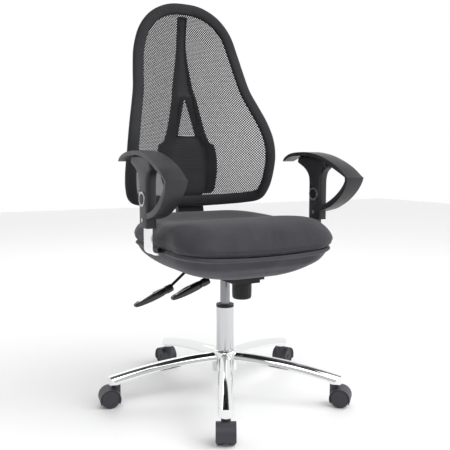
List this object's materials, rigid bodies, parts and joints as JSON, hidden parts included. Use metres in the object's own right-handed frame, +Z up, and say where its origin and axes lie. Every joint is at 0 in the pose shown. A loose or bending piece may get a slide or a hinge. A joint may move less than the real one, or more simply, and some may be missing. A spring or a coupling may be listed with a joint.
{
  "type": "swivel office chair",
  "caption": "Height-adjustable swivel office chair: net backrest on a spine, padded cushion, adjustable arm loops, gas lift and a star base on twin-wheel castors.",
  "frame": {"origin": "on the floor plane, on the axis of the column, with the wheels resting on z = 0", "axes": "+Z up, sitter faces -Y, +X towards the sitter's left"},
  "size_m": [0.6999, 0.696, 1.161],
  "materials": {
    "base_chrome": "polished chrome",
    "lift_steel": "satin",
    "castor_plastic": "moulded, satin",
    "pin_steel": "zinc plated",
    "wheel_plastic": "moulded, satin",
    "collar_plastic": "moulded",
    "housing_cast": "die cast, black powder coat",
    "carrier_steel": "black powder coat",
    "knob_plastic": "moulded, satin",
    "lever_steel": "black coat",
    "handle_plastic": "moulded, glossy",
    "board_wood": "raw plywood",
    "shell_fabric": "woven upholstery over a moulded bowl",
    "cushion_fabric": "woven upholstery over foam",
    "back_plastic": "moulded, satin",
    "net_fabric": "knitted net, stretched",
    "trim_chrome": "polished chrome",
    "arm_plastic": "moulded, satin",
    "button_plastic": "moulded"
  },
  "bodies": {
    "base": {"base_hub": "base_chrome", "leg_1": "base_chrome", "leg_2": "base_chrome", "leg_3": "base_chrome", "leg_4": "base_chrome", "leg_5": "base_chrome", "gas_tube": "base_chrome", "tube_collar": "collar_plastic", "gas_rod": "lift_steel"},
    "lift": {"gas_cylinder": "lift_steel"},
    "mechanism": {"mech_housing": "housing_cast", "seat_pin": "pin_steel", "back_pin": "pin_steel", "lever_pins": "pin_steel"},
    "tension_knob": {"tension_knob": "knob_plastic"},
    "height_lever": {"height_rod": "lever_steel", "height_handle": "handle_plastic"},
    "tilt_lever": {"tilt_rod": "lever_steel", "tilt_handle": "handle_plastic"},
    "seat": {"mounting_plate": "carrier_steel", "cushion_board": "board_wood", "lower_shell": "shell_fabric", "cushion": "cushion_fabric", "arm_bar_left": "trim_chrome", "arm_bar_right": "trim_chrome"},
    "back_carrier": {"back_carrier": "carrier_steel"},
    "backrest": {"back_socket": "back_plastic", "back_frame": "back_plastic", "back_spine": "back_plastic", "back_net": "net_fabric"},
    "arm_left": {"arm_post_left": "arm_plastic", "arm_rest_left": "arm_plastic", "button_ring_left": "trim_chrome", "arm_screw_left": "trim_chrome"},
    "arm_button_left": {"arm_button_left": "button_plastic"},
    "arm_right": {"arm_post_right": "arm_plastic", "arm_rest_right": "arm_plastic", "button_ring_right": "trim_chrome", "arm_screw_right": "trim_chrome"},
    "arm_button_right": {"arm_button_right": "button_plastic"},
    "castor_1": {"castor_hood_1": "castor_plastic", "castor_axle_1": "pin_steel"},
    "wheel_1a": {"wheel_1a": "wheel_plastic"},
    "wheel_1b": {"wheel_1b": "wheel_plastic"},
    "castor_2": {"castor_hood_2": "castor_plastic", "castor_axle_2": "pin_steel"},
    "wheel_2a": {"wheel_2a": "wheel_plastic"},
    "wheel_2b": {"wheel_2b": "wheel_plastic"},
    "castor_3": {"castor_hood_3": "castor_plastic", "castor_axle_3": "pin_steel"},
    "wheel_3a": {"wheel_3a": "wheel_plastic"},
    "wheel_3b": {"wheel_3b": "wheel_plastic"},
    "castor_4": {"castor_hood_4": "castor_plastic", "castor_axle_4": "pin_steel"},
    "wheel_4a": {"wheel_4a": "wheel_plastic"},
    "wheel_4b": {"wheel_4b": "wheel_plastic"},
    "castor_5": {"castor_hood_5": "castor_plastic", "castor_axle_5": "pin_steel"},
    "wheel_5a": {"wheel_5a": "wheel_plastic"},
    "wheel_5b": {"wheel_5b": "wheel_plastic"}
  },
  "joints": [
    {"name": "lift_height", "type": "slide", "parent": "base", "child": "lift", "axis": [0, 0, 1], "range_m": [-0.06, 0.055]},
    {"name": "swivel", "type": "hinge", "parent": "lift", "child": "mechanism", "pos_m": [0, 0, 0.344], "axis": [0, 0, 1], "continuous": true},
    {"name": "knob_turn", "type": "hinge", "parent": "mechanism", "child": "tension_knob", "pos_m": [0, -0.097, 0.344], "axis": [0, 0, 1], "range_deg": [-720, 720]},
    {"name": "height_lever", "type": "hinge", "parent": "mechanism", "child": "height_lever", "pos_m": [-0.062, 0.018, 0.384], "axis": [0, 1, 0], "range_deg": [0, 10], "stiffness_Nm_per_rad": 1.5, "springref_deg": -20.05},
    {"name": "tilt_lever", "type": "hinge", "parent": "mechanism", "child": "tilt_lever", "pos_m": [-0.062, -0.04, 0.359], "axis": [0, 1, 0], "range_deg": [-10, 0]},
    {"name": "recline", "type": "hinge", "parent": "mechanism", "child": "back_carrier", "pos_m": [0, 0.06, 0.372], "axis": [-1, 0, 0], "range_deg": [0, 20], "stiffness_Nm_per_rad": 70, "springref_deg": -20.05},
    {"name": "seat_tilt", "type": "hinge", "parent": "mechanism", "child": "seat", "pos_m": [0, -0.07, 0.405], "axis": [-1, 0, 0], "range_deg": [0, 6]},
    {"name": "back_height", "type": "slide", "parent": "back_carrier", "child": "backrest", "axis": [0, 0.1564, 0.9877], "range_m": [0, 0.06]},
    {"name": "arm_left_height", "type": "slide", "parent": "seat", "child": "arm_left", "axis": [0, 0, 1], "range_m": [-0.04, 0.05]},
    {"name": "arm_left_button", "type": "slide", "parent": "arm_left", "child": "arm_button_left", "axis": [1, 0, 0], "range_m": [0, 0.003], "stiffness_N_per_m": 600, "springref_m": -0.002},
    {"name": "arm_right_height", "type": "slide", "parent": "seat", "child": "arm_right", "axis": [0, 0, 1], "range_m": [-0.04, 0.05]},
    {"name": "arm_right_button", "type": "slide", "parent": "arm_right", "child": "arm_button_right", "axis": [1, 0, 0], "range_m": [0, 0.003], "stiffness_N_per_m": 600, "springref_m": -0.002},
    {"name": "castor_1_swivel", "type": "hinge", "parent": "base", "child": "castor_1", "pos_m": [0.22021, -0.22803, 0.062], "axis": [0, 0, 1], "continuous": true},
    {"name": "wheel_1a_roll", "type": "hinge", "parent": "castor_1", "child": "wheel_1a", "pos_m": [0.23271, -0.24098, 0.025], "axis": [0.7193, 0.6947, 0], "continuous": true},
    {"name": "wheel_1b_roll", "type": "hinge", "parent": "castor_1", "child": "wheel_1b", "pos_m": [0.23271, -0.24098, 0.025], "axis": [0.7193, 0.6947, 0], "continuous": true},
    {"name": "castor_2_swivel", "type": "hinge", "parent": "base", "child": "castor_2", "pos_m": [0.28492, 0.13896, 0.062], "axis": [0, 0, 1], "continuous": true},
    {"name": "wheel_2a_roll", "type": "hinge", "parent": "castor_2", "child": "wheel_2a", "pos_m": [0.3011, 0.14685, 0.025], "axis": [-0.4384, 0.8988, 0], "continuous": true},
    {"name": "wheel_2b_roll", "type": "hinge", "parent": "castor_2", "child": "wheel_2b", "pos_m": [0.3011, 0.14685, 0.025], "axis": [-0.4384, 0.8988, 0], "continuous": true},
    {"name": "castor_3_swivel", "type": "hinge", "parent": "base", "child": "castor_3", "pos_m": [-0.04412, 0.31391, 0.062], "axis": [0, 0, 1], "continuous": true},
    {"name": "wheel_3a_roll", "type": "hinge", "parent": "castor_3", "child": "wheel_3a", "pos_m": [-0.04662, 0.33174, 0.025], "axis": [-0.9903, -0.1392, 0], "continuous": true},
    {"name": "wheel_3b_roll", "type": "hinge", "parent": "castor_3", "child": "wheel_3b", "pos_m": [-0.04662, 0.33174, 0.025], "axis": [-0.9903, -0.1392, 0], "continuous": true},
    {"name": "castor_4_swivel", "type": "hinge", "parent": "base", "child": "castor_4", "pos_m": [-0.31218, 0.05505, 0.062], "axis": [0, 0, 1], "continuous": true},
    {"name": "wheel_4a_roll", "type": "hinge", "parent": "castor_4", "child": "wheel_4a", "pos_m": [-0.32991, 0.05817, 0.025], "axis": [-0.1736, -0.9848, 0], "continuous": true},
    {"name": "wheel_4b_roll", "type": "hinge", "parent": "castor_4", "child": "wheel_4b", "pos_m": [-0.32991, 0.05817, 0.025], "axis": [-0.1736, -0.9848, 0], "continuous": true},
    {"name": "castor_5_swivel", "type": "hinge", "parent": "base", "child": "castor_5", "pos_m": [-0.14882, -0.27989, 0.062], "axis": [0, 0, 1], "continuous": true},
    {"name": "wheel_5a_roll", "type": "hinge", "parent": "castor_5", "child": "wheel_5a", "pos_m": [-0.15727, -0.29579, 0.025], "axis": [0.8829, -0.4695, 0], "continuous": true},
    {"name": "wheel_5b_roll", "type": "hinge", "parent": "castor_5", "child": "wheel_5b", "pos_m": [-0.15727, -0.29579, 0.025], "axis": [0.8829, -0.4695, 0], "continuous": true}
  ],
  "couplings": [
    {"joint": "seat_tilt", "follows": "recline", "ratio": 0.3}
  ]
}
